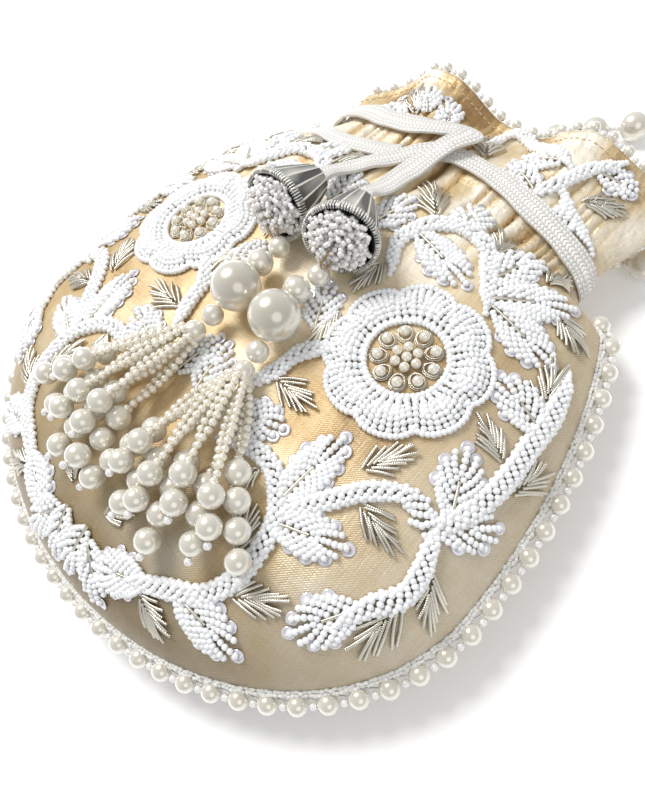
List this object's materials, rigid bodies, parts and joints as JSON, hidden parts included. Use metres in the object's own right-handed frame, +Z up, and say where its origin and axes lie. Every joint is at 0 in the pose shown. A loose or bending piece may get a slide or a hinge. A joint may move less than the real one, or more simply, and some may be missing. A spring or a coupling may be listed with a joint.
{
  "type": "potli bag",
  "caption": "Rounded silk drawstring pouch with a gathered neck, open frill, beaded flower embroidery, pearl edging, pearl handle and a pair of bead tassels.",
  "frame": {"origin": "middle of the flat patch that the bag lies on, under the widest line of the pouch", "axes": "+Y from the round bottom towards the neck and frill, +Z up out of the embroidered front, +X across the bag"},
  "size_m": [0.2105, 0.2582, 0.0646],
  "materials": {
    "silk": "satin",
    "seed_bead": "gloss",
    "clear_bead": "gloss",
    "pearl": "pearlescent gloss",
    "zari": "metallic thread",
    "braid": "satin braid"
  },
  "bodies": {
    "root": {"bag_cloth": "silk", "rim_edging": "pearl", "hem_edging": "pearl", "flower_left": "seed_bead", "flower_right": "seed_bead", "flower_eye_left": "pearl", "flower_eye_right": "pearl", "scroll_vine_left": "seed_bead", "scroll_vine_right": "seed_bead", "arch_vine_left": "seed_bead", "arch_vine_right": "seed_bead", "drawstring_left": "braid", "drawstring_right": "braid", "drawstring_back": "braid", "cone_left": "zari", "cone_right": "zari", "tuft_left": "clear_bead", "tuft_right": "clear_bead", "pearl_first_left": "pearl", "pearl_second_left": "pearl", "pearl_big_left": "pearl", "pearl_third_left": "pearl", "pearl_fourth_left": "pearl", "pearl_first_right": "pearl", "pearl_second_right": "pearl", "pearl_big_right": "pearl", "pearl_third_right": "pearl", "pearl_fourth_right": "pearl", "strand_left_1": "pearl", "strand_left_2": "pearl", "strand_left_3": "pearl", "strand_left_4": "pearl", "strand_right_1": "pearl", "strand_right_2": "pearl", "strand_right_3": "pearl", "strand_right_4": "pearl", "strand_right_5": "pearl", "handle_strand": "pearl"}
  },
  "joints": []
}
